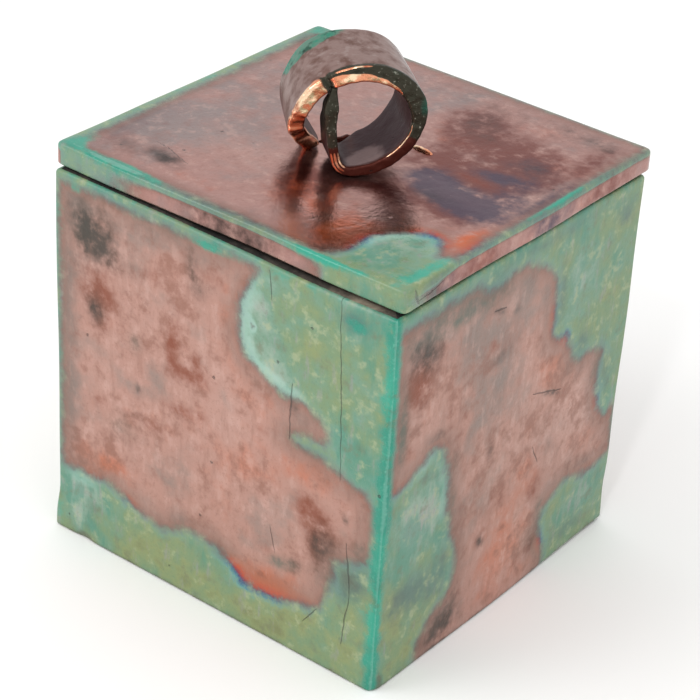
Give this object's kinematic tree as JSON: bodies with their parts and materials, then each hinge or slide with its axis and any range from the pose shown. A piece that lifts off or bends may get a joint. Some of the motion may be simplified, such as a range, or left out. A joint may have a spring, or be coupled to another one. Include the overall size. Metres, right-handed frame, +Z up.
{
  "type": "lidded ceramic box",
  "caption": "Square slab-built ceramic box with a flat lift-off lid, a curled strap handle and a mottled copper and green glaze.",
  "frame": {"origin": "centre of the underside, on the surface the box stands on", "axes": "+Z up through the lid; -Y out of the front wall and +X out of the right wall, with the handle's open end facing the corner between them"},
  "size_m": [0.1122, 0.1072, 0.1465],
  "materials": {
    "wall_glaze": "satin",
    "lid_glaze": "satin",
    "copper_flash": "gloss",
    "smoked_clay": "matte"
  },
  "bodies": {
    "box": {"floor_slab": "smoked_clay", "front_wall": "wall_glaze", "right_wall": "wall_glaze", "back_wall": "wall_glaze", "left_wall": "wall_glaze", "corner_coil_front_left": "smoked_clay", "corner_coil_front_right": "smoked_clay", "corner_coil_back_right": "smoked_clay", "corner_coil_back_left": "smoked_clay", "floor_coil_front": "smoked_clay", "floor_coil_right": "smoked_clay", "floor_coil_back": "smoked_clay", "floor_coil_left": "smoked_clay"},
    "lid": {"lid_slab": "lid_glaze", "key_strip_front": "smoked_clay", "key_strip_back": "smoked_clay", "key_strip_left": "smoked_clay", "key_strip_right": "smoked_clay", "handle_curl": "copper_flash", "slip_bead_back": "copper_flash", "slip_bead_side": "copper_flash"}
  },
  "joints": [
    {"name": "lid_lift", "type": "slide", "parent": "box", "child": "lid", "axis": [0, 0, 1], "range_m": [0, 0.12]}
  ]
}
